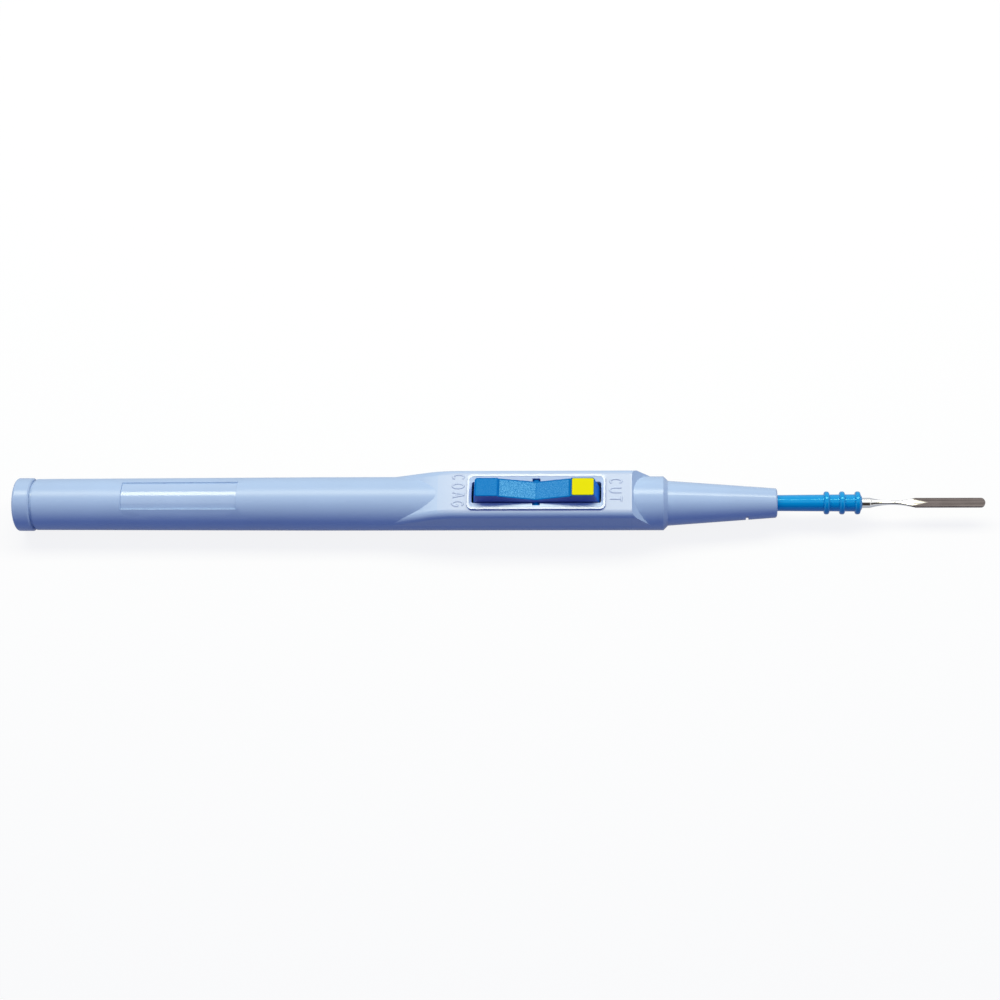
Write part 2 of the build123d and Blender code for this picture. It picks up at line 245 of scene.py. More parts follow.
def make_moulded_grain() -> bpy.types.NodeTree:
    """Builds the fine grain of a moulded surface, shared by all the plastics.

    Returns:
        A group that gives a colour, a roughness and a height.
    """
    number, colour = "NodeSocketFloat", "NodeSocketColor"
    grain_detail, cloud_scale, cloud_detail = 2.0, 90.0, 3.0
    fleck_range, shade_range, rough_range = (-1.6, 2.6), (0.95, 1.05), (0.9, 1.1)
    sheet = new_group(
        "moulded_grain",
        {
            "Colour": colour,
            "Speckle Colour": colour,
            "Speckle": number,
            "Grain Scale": number,
            "Roughness": number,
        },
        {"Colour": colour, "Roughness": number, "Height": number},
    )
    given = sheet.add("NodeGroupInput").outputs
    place = sheet.add("ShaderNodeTexCoord").outputs["Object"]
    grain = sheet.noise(place, given["Grain Scale"], grain_detail)
    cloud = sheet.noise(place, cloud_scale, cloud_detail)
    fleck = sheet.sum_up("MULTIPLY", sheet.spread(grain, *fleck_range), given["Speckle"])
    fleck = sheet.sum_up("MAXIMUM", fleck, 0.0)
    shade = sheet.add("ShaderNodeHueSaturation")
    sheet.feed(shade.inputs["Color"], given["Colour"])
    sheet.feed(shade.inputs["Value"], sheet.spread(cloud, *shade_range))
    result = sheet.add("NodeGroupOutput").inputs
    sheet.feed(result["Colour"], sheet.mix_colour(fleck, shade.outputs["Color"], given["Speckle Colour"]))
    uneven = sheet.spread(cloud, *rough_range)
    sheet.feed(result["Roughness"], sheet.sum_up("MULTIPLY", given["Roughness"], uneven))
    sheet.feed(result["Height"], grain)
    return sheet.tree


def make_tool_marks() -> bpy.types.NodeTree:
    """Builds the marks of a ground, turned or stamped metal surface, shared by all the metals.

    Returns:
        A group that gives a colour, a roughness and a height.
    """
    number, colour, vector = "NodeSocketFloat", "NodeSocketColor", "NodeSocketVector"
    mark_detail, stain_scale, stain_detail = 4.0, 400.0, 3.0
    stain_range, rough_range = (0.4, 1.6), (0.6, 1.4)
    sheet = new_group(
        "tool_marks",
        {"Colour": colour, "Mark Colour": colour, "Stretch": vector, "Roughness": number},
        {"Colour": colour, "Roughness": number, "Height": number},
    )
    given = sheet.add("NodeGroupInput").outputs
    place = sheet.add("ShaderNodeTexCoord").outputs["Object"]
    stretched = sheet.add("ShaderNodeVectorMath", operation="MULTIPLY")
    sheet.feed(stretched.inputs[0], place)
    sheet.feed(stretched.inputs[1], given["Stretch"])
    marks = sheet.noise(stretched.outputs["Vector"], 1.0, mark_detail)
    stain = sheet.noise(place, stain_scale, stain_detail)
    result = sheet.add("NodeGroupOutput").inputs
    depth = sheet.sum_up("MULTIPLY", marks, sheet.spread(stain, *stain_range))
    sheet.feed(result["Colour"], sheet.mix_colour(depth, given["Colour"], given["Mark Colour"]))
    uneven = sheet.spread(marks, *rough_range)
    sheet.feed(result["Roughness"], sheet.sum_up("MULTIPLY", given["Roughness"], uneven))
    sheet.feed(result["Height"], marks)
    return sheet.tree


def make_span_mask() -> bpy.types.NodeTree:
    """Builds a mask for a stretch along X, whose ends may run back towards the sides.

    Returns:
        A group that gives 1 inside the stretch and 0 outside.
    """
    number = "NodeSocketFloat"
    inputs = dict.fromkeys(("Start", "End", "Edge", "Taper"), number)
    sheet = new_group("span_mask", inputs, {"Mask": number})
    given = sheet.add("NodeGroupInput").outputs
    place = sheet.split("Object")
    along = sheet.sum_up("MULTIPLY_ADD", sheet.sum_up("ABSOLUTE", place.y), given["Taper"], place.x)
    shares = []
    for distance in (
        sheet.sum_up("SUBTRACT", along, given["Start"]),
        sheet.sum_up("SUBTRACT", given["End"], along),
    ):
        share = sheet.add("ShaderNodeMath", operation="DIVIDE", use_clamp=True)
        sheet.feed(share.inputs[0], distance)
        sheet.feed(share.inputs[1], given["Edge"])
        shares.append(share.outputs[0])
    result = sheet.add("NodeGroupOutput").inputs
    sheet.feed(result["Mask"], sheet.sum_up("MULTIPLY", *shares))
    return sheet.tree


@dataclass(frozen=True)
class Effects:
    """Node groups that several finishes share."""

    grain: bpy.types.NodeTree
    marks: bpy.types.NodeTree
    span: bpy.types.NodeTree


@dataclass(frozen=True)
class Span:
    """Stretch of a surface along X, with the length of its soft edges and how far its ends run back."""

    start: float
    end: float
    edge: float = 0.05 * MM
    taper: float = 0.0

    def place(self, sheet: NodeSheet, effects: Effects) -> bpy.types.NodeSocket:
        """Places the stretch's mask in a material.

        Args:
            sheet: The material's sheet.
            effects: The shared node groups.

        Returns:
            1 inside the stretch and 0 outside.
        """
        node = place_group(
            sheet, effects.span, Start=self.start, End=self.end, Edge=self.edge, Taper=self.taper
        )
        return node.outputs["Mask"]


def new_material(name: str) -> tuple[NodeSheet, bpy.types.Node, bpy.types.Material]:
    """Starts a material with a Principled shader.

    Args:
        name: The material's name.

    Returns:
        A sheet on its tree, the shader node and the material.
    """
    material = bpy.data.materials.new(name)
    material.use_nodes = True
    sheet = NodeSheet(material.node_tree)
    shader = sheet.add("ShaderNodeBsdfPrincipled")
    output = sheet.add("ShaderNodeOutputMaterial")
    sheet.feed(output.inputs["Surface"], shader.outputs["BSDF"])
    return sheet, shader, material


def place_group(sheet: NodeSheet, tree: bpy.types.NodeTree, **values: object) -> bpy.types.Node:
    """Places a node group in a material with its own values.

    Args:
        sheet: The material's sheet.
        tree: The group.
        values: Input values, with underscores for the spaces in the input names.

    Returns:
        The group node.
    """
    node = sheet.add("ShaderNodeGroup", node_tree=tree)
    for name, value in values.items():
        sheet.feed(node.inputs[name.replace("_", " ")], value)
    return node


def raise_bump(sheet: NodeSheet, height: object, distance: float, strength: object) -> bpy.types.NodeSocket:
    """Adds a bump node.

    Args:
        sheet: The material's sheet.
        height: The height to read.
        distance: What a height of 1 stands for, in metres.
        strength: Share of the bump that shows.

    Returns:
        The bumped normal.
    """
    bump = sheet.add("ShaderNodeBump")
    bump.inputs["Distance"].default_value = distance
    sheet.feed(bump.inputs["Height"], height)
    sheet.feed(bump.inputs["Strength"], strength)
    return bump.outputs["Normal"]


@dataclass(frozen=True)
class MouldedPlastic:
    """Moulded plastic with a fine grain."""

    name: str
    colour: Colour
    roughness: float
    grain_size: float = 0.2 * MM
    grain_depth: float = 0.006 * MM
    speckle_colour: Colour = WHITE
    specular: float = 0.4
    specular_tint: Colour = WHITE
    skin: float = 0.0
    skin_roughness: float = 0.1

    def make(self, effects: Effects) -> bpy.types.Material:
        """Builds the material.

        Args:
            effects: The shared node groups.

        Returns:
            The new material.
        """
        sheet, shader, material = new_material(self.name)
        grain = place_group(
            sheet,
            effects.grain,
            Colour=(*self.colour, 1.0),
            Speckle_Colour=(*self.speckle_colour, 1.0),
            Grain_Scale=1.0 / self.grain_size,
            Roughness=self.roughness,
        )
        sheet.feed(shader.inputs["Base Color"], grain.outputs["Colour"])
        shader.inputs["Specular IOR Level"].default_value = self.specular
        shader.inputs["Specular Tint"].default_value = (*self.specular_tint, 1.0)
        shader.inputs["Coat Weight"].default_value = self.skin
        shader.inputs["Coat Roughness"].default_value = self.skin_roughness
        self.finish_surface(sheet, shader, grain, effects)
        return material

    def finish_surface(
        self, sheet: NodeSheet, shader: bpy.types.Node, grain: bpy.types.Node, effects: Effects
    ) -> None:
        """Links roughness and grain all over.

        Args:
            sheet: The material's sheet.
            shader: The Principled shader.
            grain: The placed grain group.
            effects: The shared node groups; not used here.
        """
        sheet.feed(shader.inputs["Roughness"], grain.outputs["Roughness"])
        bumped = raise_bump(sheet, grain.outputs["Height"], self.grain_depth, 1.0)
        sheet.feed(shader.inputs["Normal"], bumped)


HANDLE_COLOUR: Colour = (0.40, 0.53, 0.75)
# Painted highlight: paler colour for the switch panel's upward faces, also used on the legends
PANEL_HIGHLIGHT_COLOUR: Colour = (0.48, 0.565, 0.735)


@dataclass(frozen=True)
class HandlePlastic(MouldedPlastic):
    """Grained plastic with a painted highlight on the panel's top, painted light on the funnel and on the
    label recess's long walls, and painted shade on the bezel's outer wall; smooth in the label recess, on
    the bezel and at both ends.

    Levels are along Z. Limits and slopes are parts of the surface's direction.
    """

    recess: Span = Span(23.4 * MM, 48.2 * MM)
    recess_radius: float = 5.47 * MM
    ledge_limit: float = 0.7
    ledge_light_colour: Colour = (0.64, 0.81, 0.97)
    mouth: Span = Span(97.15 * MM, 125.55 * MM)
    mouth_half: float = 3.75 * MM
    rim_level: float = 6.4 * MM
    funnel_level: float = 5.93 * MM
    funnel_light_colour: Colour = (0.64, 0.78, 0.95)
    wall_level: float = 6.08 * MM
    wall_limit: float = 0.6
    wall_shade_colour: Colour = (0.1, 0.18, 0.5)
    panel: Span = Span(88.0 * MM, FRONT, edge=7.0 * MM)
    panel_level: float = 5.7 * MM
    panel_slopes: Point = (0.8, 1.0)
    panel_highlight_colour: Colour = PANEL_HIGHLIGHT_COLOUR
    polish: float = 0.15
    coat: float = 0.5
    smooth_ends: tuple[Span, ...] = (Span(REAR, 4.3 * MM), Span(130.9 * MM, FRONT))
    end_roughness: float = 0.24

    def finish_surface(
        self, sheet: NodeSheet, shader: bpy.types.Node, grain: bpy.types.Node, effects: Effects
    ) -> None:
        """Links roughness, grain and colour, each with its own stretches of the handle; the colour carries
        painted light and painted shade.

        Args:
            sheet: The material's sheet.
            shader: The Principled shader.
            grain: The placed grain group.
            effects: The shared node groups.
        """
        place, normal = sheet.split("Object"), sheet.split("Normal")
        squares = [sheet.sum_up("POWER", part, 2.0) for part in (place.y, place.z)]
        radius = sheet.sum_up("SQRT", sheet.sum_up("ADD", *squares))
        sunk = sheet.sum_up("LESS_THAN", radius, self.recess_radius)
        in_recess = sheet.sum_up("MULTIPLY", self.recess.place(sheet, effects), sunk)
        on_rim = sheet.sum_up("GREATER_THAN", place.z, self.rim_level)
        polished = sheet.sum_up("MAXIMUM", in_recess, on_rim)
        in_mouth = self.find_mouth(sheet, place, effects)
        above_funnel = sheet.sum_up("GREATER_THAN", place.z, self.funnel_level)
        in_funnel = sheet.sum_up("MULTIPLY", in_mouth, sheet.sum_up("SUBTRACT", above_funnel, on_rim))
        grained = sheet.sum_up("SUBTRACT", 1.0, sheet.sum_up("MAXIMUM", polished, in_funnel))
        ends = sheet.sum_up("ADD", *(end.place(sheet, effects) for end in self.smooth_ends))
        roughness = sheet.spread(ends, grain.outputs["Roughness"], self.end_roughness)
        sheet.feed(shader.inputs["Roughness"], sheet.spread(polished, roughness, self.polish))
        sheet.feed(shader.inputs["Coat Weight"], sheet.sum_up("MULTIPLY", polished, self.coat))
        shader.inputs["Coat Roughness"].default_value = self.polish
        bumped = raise_bump(sheet, grain.outputs["Height"], self.grain_depth, grained)
        sheet.feed(shader.inputs["Normal"], bumped)
        # Painted light on the label recess's long side walls, which would otherwise fall into shade
        painted_ledge_light = self.find_ledge(sheet, place, normal, radius, effects)
        colour = self.shade_panel(sheet, place, normal, in_mouth, effects)
        # Painted light: the funnel inside the bezel is made paler, lifting its shade
        colour = sheet.mix_colour(in_funnel, colour, self.funnel_light_colour)
        sheet.feed(grain.inputs["Colour"], sheet.mix_colour(painted_ledge_light, colour, self.ledge_light_colour))

    def find_mouth(self, sheet: NodeSheet, place: Axes, effects: Effects) -> bpy.types.NodeSocket:
        """Finds what lies inside the bezel's rim in plan.

        Args:
            sheet: The material's sheet.
            place: The place on the surface.
            effects: The shared node groups.

        Returns:
            1 inside the rim and 0 outside.
        """
        between = sheet.sum_up("LESS_THAN", sheet.sum_up("ABSOLUTE", place.y), self.mouth_half)
        return sheet.sum_up("MULTIPLY", between, self.mouth.place(sheet, effects))

    def find_ledge(
        self, sheet: NodeSheet, place: Axes, normal: Axes, radius: bpy.types.NodeSocket, effects: Effects
    ) -> bpy.types.NodeSocket:
        """Finds the long side walls of the label recess, which face neither outward nor along the handle,
        where light is painted on.

        Args:
            sheet: The material's sheet.
            place: The place on the surface.
            normal: The surface's direction.
            radius: Distance from the handle's axis.
            effects: The shared node groups.

        Returns:
            1 on the walls and 0 elsewhere.
        """
        across = sheet.sum_up("MULTIPLY", normal.y, place.y)
        outward = sheet.sum_up("MULTIPLY_ADD", normal.z, place.z, across)
        outward = sheet.sum_up("ABSOLUTE", sheet.sum_up("DIVIDE", outward, radius))
        most = sheet.sum_up("MAXIMUM", outward, sheet.sum_up("ABSOLUTE", normal.x))
        steep = sheet.sum_up("LESS_THAN", most, self.ledge_limit)
        return sheet.sum_up("MULTIPLY", steep, self.recess.place(sheet, effects))

    def shade_panel(
        self, sheet: NodeSheet, place: Axes, normal: Axes, in_mouth: bpy.types.NodeSocket, effects: Effects
    ) -> bpy.types.NodeSocket:
        """Paints a highlight on the panel's top and paints shade on the outer wall of the bezel.

        Args:
            sheet: The material's sheet.
            place: The place on the surface.
            normal: The surface's direction.
            in_mouth: Mask of what lies inside the bezel's rim.
            effects: The shared node groups.

        Returns:
            The colour of the handle outside the funnel.
        """
        # Painted shade on the bezel's steep outer wall
        steep = sheet.sum_up("LESS_THAN", normal.z, self.wall_limit)
        on_bezel = sheet.sum_up("GREATER_THAN", place.z, self.wall_level)
        painted_wall_shade = sheet.sum_up("MULTIPLY", steep, on_bezel)
        painted_wall_shade = sheet.sum_up("MULTIPLY", painted_wall_shade, sheet.sum_up("SUBTRACT", 1.0, in_mouth))
        # Painted highlight on the panel's upward-facing top
        raised = sheet.sum_up("GREATER_THAN", place.z, self.panel_level)
        painted_panel_highlight = sheet.sum_up("MULTIPLY", raised, sheet.grade(normal.z, self.panel_slopes))
        painted_panel_highlight = sheet.sum_up("MULTIPLY", painted_panel_highlight, self.panel.place(sheet, effects))
        colour = sheet.mix_colour(painted_panel_highlight, self.colour, self.panel_highlight_colour)
        return sheet.mix_colour(painted_wall_shade, colour, self.wall_shade_colour)


@dataclass(frozen=True)
class GrainField:
    """Grained field on the rocker's top, with the strength of its speckle."""

    span: Span
    speckle: float


@dataclass(frozen=True)
class RockerPlastic(MouldedPlastic):
    """Rocker plastic: speckled grained fields on top with unspeckled borders in painted shade, also in the
    creases between fields; plain sides in painted shade and plain ends in painted light.
    """

    fields: tuple[GrainField, ...] = (
        GrainField(Span(99.05 * MM, 103.35 * MM), speckle=0.12),
        GrainField(Span(103.85 * MM, 111.32 * MM), speckle=0.85),
        GrainField(Span(111.38 * MM, 118.2 * MM), speckle=0.4),
    )
    field_half: float = 1.8 * MM
    border_shade_colour: Colour = (0.0, 0.135, 0.43)
    side_shade_colour: Colour = (0.12, 0.16, 0.47)
    end_light_colour: Colour = (0.02, 0.22, 0.8)
    side_slopes: Point = (0.35, 0.85)

    def finish_surface(
        self, sheet: NodeSheet, shader: bpy.types.Node, grain: bpy.types.Node, effects: Effects
    ) -> None:
        """Links roughness and grain, with the fields' speckle, painted shade on the borders and sides, and
        painted light on the ends.

        Args:
            sheet: The material's sheet.
            shader: The Principled shader.
            grain: The placed grain group.
            effects: The shared node groups.
        """
        super().finish_surface(sheet, shader, grain, effects)
        place, normal = sheet.split("Object"), sheet.split("Normal")
        topside = sheet.grade(normal.z, self.side_slopes)
        sideways = sheet.grade(sheet.sum_up("ABSOLUTE", normal.y), self.side_slopes)
        between = sheet.sum_up("LESS_THAN", sheet.sum_up("ABSOLUTE", place.y), self.field_half)
        inner = sheet.sum_up("MULTIPLY", topside, between)
        grained, speckle = 0.0, 0.0
        for field in self.fields:
            mask = field.span.place(sheet, effects)
            grained = sheet.sum_up("ADD", grained, mask)
            speckle = sheet.sum_up("MULTIPLY_ADD", mask, field.speckle, speckle)
        grained = sheet.sum_up("MULTIPLY", grained, inner)
        # Painted shade: darker border colour along the top's edges and in the creases between fields
        top = sheet.mix_colour(grained, self.border_shade_colour, self.colour)
        # Painted shade on the rocker's sides and painted light on its ends, chosen by which way each face
        # turns
        painted_flank = sheet.mix_colour(sideways, self.end_light_colour, self.side_shade_colour)
        sheet.feed(grain.inputs["Colour"], sheet.mix_colour(topside, painted_flank, top))
        sheet.feed(grain.inputs["Speckle"], sheet.sum_up("MULTIPLY", speckle, inner))


@dataclass(frozen=True)
class WorkedMetal:
    """Metal with the marks of the way in which it was worked."""

    name: str
    colour: Colour
    mark_colour: Colour
    roughness: float
    marks: Marks
    mark_depth: float = 0.003 * MM

    def make(self, effects: Effects) -> bpy.types.Material:
        """Builds the material.

        Args:
            effects: The shared node groups.

        Returns:
            The new material.
        """
        sheet, shader, material = new_material(self.name)
        marks = place_group(
            sheet,
            effects.marks,
            Colour=(*self.colour, 1.0),
            Mark_Colour=(*self.mark_colour, 1.0),
            Stretch=self.marks.value,
            Roughness=self.roughness,
        )
        shader.inputs["Metallic"].default_value = 1.0
        self.finish_surface(sheet, shader, marks, effects)
        return material

    def finish_surface(
        self, sheet: NodeSheet, shader: bpy.types.Node, marks: bpy.types.Node, effects: Effects
    ) -> None:
        """Links colour, roughness and marks all over.

        Args:
            sheet: The material's sheet.
            shader: The Principled shader.
            marks: The placed group of marks.
            effects: The shared node groups; not used here.
        """
        sheet.feed(shader.inputs["Base Color"], marks.outputs["Colour"])
        sheet.feed(shader.inputs["Roughness"], marks.outputs["Roughness"])
        bumped = raise_bump(sheet, marks.outputs["Height"], self.mark_depth, 1.0)
        sheet.feed(shader.inputs["Normal"], bumped)


@dataclass(frozen=True)
class BladeSteel(WorkedMetal):
    """Steel that is polished on the shank and ground on the blade, where the polish ends in a point."""

    shank: Span = Span(REAR, 192.6 * MM, edge=2.4 * MM, taper=4.0)
    shank_colour: Colour = (0.78, 0.79, 0.78)
    shank_roughness: float = 0.07
    blade_metallic: float = 0.75

    def finish_surface(
        self, sheet: NodeSheet, shader: bpy.types.Node, marks: bpy.types.Node, effects: Effects
    ) -> None:
        """Links colour, roughness and marks, with the shank left bright.

        Args:
            sheet: The material's sheet.
            shader: The Principled shader.
            marks: The placed group of marks.
            effects: The shared node groups.
        """
        polished = self.shank.place(sheet, effects)
        ground = sheet.sum_up("SUBTRACT", 1.0, polished)
        colour = sheet.mix_colour(polished, marks.outputs["Colour"], self.shank_colour)
        sheet.feed(shader.inputs["Base Color"], colour)
        roughness = sheet.spread(polished, marks.outputs["Roughness"], self.shank_roughness)
        sheet.feed(shader.inputs["Roughness"], roughness)
        sheet.feed(shader.inputs["Metallic"], sheet.spread(polished, self.blade_metallic, 1.0))
        bumped = raise_bump(sheet, marks.outputs["Height"], self.mark_depth, ground)
        sheet.feed(shader.inputs["Normal"], bumped)


HANDLE_FINISH = HandlePlastic("handle_plastic", HANDLE_COLOUR, roughness=0.33)
# The legends carry the panel's painted highlight colour
LEGEND_FINISH = MouldedPlastic("legend_plastic", PANEL_HIGHLIGHT_COLOUR, roughness=0.33)
ROCKER_FINISH = RockerPlastic(
    "rocker_plastic",
    colour=(0.008, 0.17, 0.5),
    roughness=0.5,
    grain_size=0.16 * MM,
    grain_depth=0.02 * MM,
    speckle_colour=(0.16, 0.5, 0.8),
    specular=0.25,
    specular_tint=(0.06, 0.6, 1.0),
)
CUT_FINISH = MouldedPlastic(
    "cut_plastic",
    colour=(0.77, 0.71, 0.002),
    roughness=0.5,
    specular=0.2,
    specular_tint=(1.0, 0.9, 0.1),
)
SLEEVE_FINISH = MouldedPlastic(
    "sleeve_plastic",
    colour=(0.0, 0.29, 0.68),
    roughness=0.08,
    grain_depth=0.001 * MM,
    specular=0.5,
    specular_tint=(0.1, 1.0, 1.0),
    skin=0.3,
)
BOARD_FINISH = MouldedPlastic(
    "board_laminate",
    colour=(0.02, 0.16, 0.06),
    roughness=0.3,
    grain_depth=0.002 * MM,
)
BLADE_FINISH = BladeSteel(
    "blade_steel",
    colour=(0.183, 0.159, 0.174),
    mark_colour=(0.072, 0.059, 0.063),
    roughness=0.7,
    marks=Marks.GROUND_ALONG,
)
DOME_FINISH = WorkedMetal(
    "dome_steel",
    colour=(0.7, 0.7, 0.7),
    mark_colour=(0.45, 0.45, 0.45),
    roughness=0.25,
    marks=Marks.STAMPED,
)
BRASS_FINISH = WorkedMetal(
    "contact_brass",
    colour=(0.72, 0.5, 0.2),
    mark_colour=(0.5, 0.32, 0.1),
    roughness=0.28,
    marks=Marks.TURNED_ROUND,
)


def dress(material: bpy.types.Material, *names: str) -> None:
    """Gives solids of the frame their material.

    Args:
        material: The material.
        names: The solids' node names.
    """
    for name in names:
        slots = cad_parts[name].data.materials
        slots.clear()
        slots.append(material)
        LOG.info("dressed %s in %s", name, material.name)


def arc(centre: Point, reach: Point, start: float, end: float, steps: int = 18) -> list[Point]:
    """Lists the points of an elliptical arc.

    Args:
        centre: Middle of the ellipse.
        reach: Its half widths.
        start: First angle in degrees, anticlockwise from the right.
        end: Last angle in degrees.
        steps: How many pieces the arc has.

    Returns:
        The points in order.
    """
    angles = [math.radians(start + (end - start) * step / steps) for step in range(steps + 1)]
    return [(centre[0] + reach[0] * math.cos(a), centre[1] + reach[1] * math.sin(a)) for a in angles]


# Centre lines of each letter's strokes, in a box from 0 to 1
ROUND = ((0.5, 0.5), (0.5, 0.5))
GLYPHS: dict[str, list[list[Point]]] = {
    "A": [[(0, 0), (0.42, 1), (0.58, 1), (1, 0)], [(0.2, 0.34), (0.8, 0.34)]],
    "C": [arc(*ROUND, 46, 314)],
    "G": [[*arc(*ROUND, 46, 346), (0.985, 0.48), (0.6, 0.48)]],
    "O": [arc(*ROUND, 0, 360)],
    "T": [[(0, 1), (1, 1)], [(0.5, 0.98), (0.5, 0)]],
    "U": [[(0, 1), *arc((0.5, 0.4), (0.5, 0.4), 180, 360), (1, 1)]],
}


@dataclass(frozen=True)
class Stroke:
    """Raised flat-topped line with drafted sides along a centre line in plan."""

    line: list[Vector]
    width: float
    draft: float
    closing_share: float = 0.001

    def mitres(self) -> list[Vector]:
        """Finds the way to the stroke's left side at each point, for a half width of 1.

        Returns:
            One vector for each point.
        """
        steps = [(end - start).normalized() for start, end in zip(self.line, self.line[1:])]
        closed = (self.line[0] - self.line[-1]).length < self.closing_share * self.width
        before = [steps[-1] if closed else steps[0], *steps]
        after = [*steps, steps[0] if closed else steps[-1]]
        ways = []
        for first, second in zip(before, after):
            left = [Vector((-step.y, step.x)) for step in (first, second)]
            ways.append((left[0] + left[1]) / (1 + left[0].dot(left[1])))
        return ways

    def build(self, work: bmesh.types.BMesh, foot: float, top: float) -> None:
        """Adds the stroke to a mesh.

        Args:
            work: The mesh to add to.
            foot: Level of its foot.
            top: Level of its top.
        """
        half = self.width / 2
        profile = ((half, foot), (half - self.draft, top), (self.draft - half, top), (-half, foot))
        rings = []
        for point, way in zip(self.line, self.mitres()):
            rings.append([work.verts.new((*(point + reach * way), level)) for reach, level in profile])
        for ring, following in zip(rings, rings[1:]):
            for index in range(len(profile)):
                near, far = index, (index + 1) % len(profile)
                work.faces.new((ring[near], ring[far], following[far], following[near]))
        work.faces.new(reversed(rings[0]))
        work.faces.new(rings[-1])


@dataclass(frozen=True)
class Legend:
    """Raised word on the switch panel, read across the handle.

    Each further stroke of a letter is a little lower, so that no two tops lie in one plane.
    """

    word: str
    foot_x: float
    top_x: float
    span: float
    stroke: float = 0.6 * MM
    gap: float = 0.3 * MM
    draft: float = 0.2 * MM
    sink: float = 0.05 * MM
    aside: float = 0.45 * MM
    rank_drop: float = 0.05

    def build(self, panel_level: float, relief: float) -> bpy.types.Object:
        """Builds the raised letters.

        Args:
            panel_level: Height of the panel that carries them.
            relief: How far they stand out of it.

        Returns:
            The letters as one mesh.
        """
        pitch = (self.span + self.gap) / len(self.word)
        across = pitch - self.gap - self.stroke
        height = self.top_x - self.foot_x - self.stroke
        work = bmesh.new()
        for place, letter in enumerate(self.word):
            corner = Vector((self.foot_x, self.aside + self.span / 2 - place * pitch))
            corner += Vector((self.stroke / 2, -self.stroke / 2))
            for rank, line in enumerate(GLYPHS[letter]):
                points = [corner + Vector((up * height, -along * across)) for along, up in line]
                top = panel_level + relief * (1 - self.rank_drop * rank)
                Stroke(points, self.stroke, self.draft).build(work, panel_level - self.sink, top)
        bmesh.ops.recalc_face_normals(work, faces=work.faces)
        name = f"legend_{self.word.lower()}"
        mesh = bpy.data.meshes.new(name)
        work.to_mesh(mesh)
        work.free()
        letters = bpy.data.objects.new(name, mesh)
        bpy.context.scene.collection.objects.link(letters)
        return letters


@dataclass
class Handle:
    """Handle body with its end cap, nose and raised legends."""

    panel_level: float = 6.05 * MM
    legend_relief: float = 0.13 * MM
    legends: tuple[Legend, ...] = (
        Legend("COAG", foot_x=93.6 * MM, top_x=96.5 * MM, span=7.7 * MM),
        Legend("CUT", foot_x=126.35 * MM, top_x=129.35 * MM, span=5.6 * MM),
    )

    def build(self, effects: Effects) -> None:
        """Builds and dresses the legends.

        Args:
            effects: The shared node groups.
        """
        material = LEGEND_FINISH.make(effects)
        for legend in self.legends:
            letters = legend.build(self.panel_level, self.legend_relief)
            letters.data.materials.clear()
            letters.data.materials.append(material)
            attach(letters, Body.HANDLE.value)
            LOG.info("built %s", letters.name)

    def dress(self, effects: Effects) -> None:
        """Dresses the moulded pieces."""
        dress(HANDLE_FINISH.make(effects), "handle_body", "end_cap", "nose_cone")


@dataclass
class RockerSwitch:
    """Rocker and its inlay."""

    def dress(self, effects: Effects) -> None:
        """Dresses both moulded pieces."""
        dress(ROCKER_FINISH.make(effects), "rocker")
        dress(CUT_FINISH.make(effects), "cut_pad")


@dataclass
class Electrode:
    """Plug-in electrode with its insulating sleeve."""

    def dress(self, effects: Effects) -> None:
        """Dresses sleeve and blade."""
        dress(SLEEVE_FINISH.make(effects), "electrode_sleeve")
        dress(BLADE_FINISH.make(effects), "electrode_blade")


@dataclass(frozen=True)
class SnapDome:
    """Thin spherical cap that the rocker presses flat, in place of a rigid solid."""

    node: str
    thickness: float = 0.1 * MM
    pressed_share: float = 0.03
    rings: int = 12
    segments: int = 64
    weld: float = 0.0001 * MM

    def profile(self, rim: float, height: float) -> list[Point]:
        """Lists radius and level of the cap's section, from the outer apex round the rim to the inner apex.

        Args:
            rim: Radius of the rim.
            height: Height of the outer apex over the rim.

        Returns:
            The points in order.
        """
        outer = (rim**2 + height**2) / (2 * height)
        centre = height - outer
        section = []
        for radius in (outer, outer - self.thickness):
            reach = math.acos(-centre / radius)
            turns = [reach * step / self.rings for step in range(self.rings + 1)]
            side = [(radius * math.sin(turn), centre + radius * math.cos(turn)) for turn in turns]
            section += side if radius == outer else reversed(side)
        return section

    def build(self) -> bpy.types.Object:
        """Builds the cap where the solid is.

        Returns:
            The cap.
        """
        low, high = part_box(self.node)
        middle = Vector(((low.x + high.x) / 2, (low.y + high.y) / 2, low.z))
        section = self.profile((high.x - low.x) / 2, high.z - low.z)
        work = bmesh.new()
        rings = []
        for radius, level in section:
            angles = [2 * math.pi * step / self.segments for step in range(self.segments)]
            spots = [middle + Vector((radius * math.cos(a), radius * math.sin(a), level)) for a in angles]
            rings.append([work.verts.new(spot) for spot in spots])
        for ring, following in zip(rings, rings[1:]):
            for index in range(self.segments):
                near, far = index, (index + 1) % self.segments
                work.faces.new((ring[near], ring[far], following[far], following[near]))
        bmesh.ops.remove_doubles(work, verts=work.verts, dist=self.weld)
        bmesh.ops.recalc_face_normals(work, faces=work.faces)
        name = f"{self.node}_cap"
        mesh = bpy.data.meshes.new(name)
        work.to_mesh(mesh)
        work.free()
        mesh.shade_smooth()
        cap = bpy.data.objects.new(name, mesh)
        bpy.context.scene.collection.objects.link(cap)
        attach(cap, Body.HANDLE.value)
        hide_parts(self.node)
        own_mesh(cap)
        LOG.info("built %s", name)
        return cap


